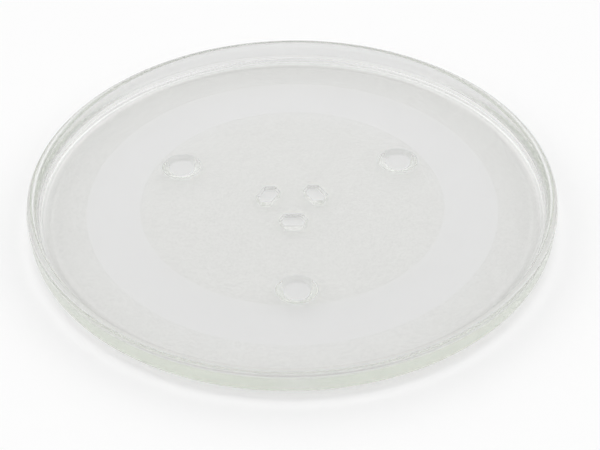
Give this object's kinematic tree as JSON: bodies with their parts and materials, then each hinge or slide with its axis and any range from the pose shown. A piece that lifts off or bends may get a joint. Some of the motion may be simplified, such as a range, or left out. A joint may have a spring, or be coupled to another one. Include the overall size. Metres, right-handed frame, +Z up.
{
  "type": "microwave turntable plate",
  "caption": "Round clear glass turntable plate for a microwave oven, with a raised rim, a stippled underside, a smooth roller track, drive lugs and feet.",
  "frame": {"origin": "on the plate's axis, at the level that its feet stand on", "axes": "+Z up along the plate's axis, out of the side that carries food; -Y towards one foot and lug"},
  "size_m": [0.288, 0.288, 0.0186],
  "materials": {
    "glass": "clear pressed glass, smooth on top, finely stippled underneath"
  },
  "bodies": {
    "root": {"turntable_plate": "glass"}
  },
  "joints": []
}
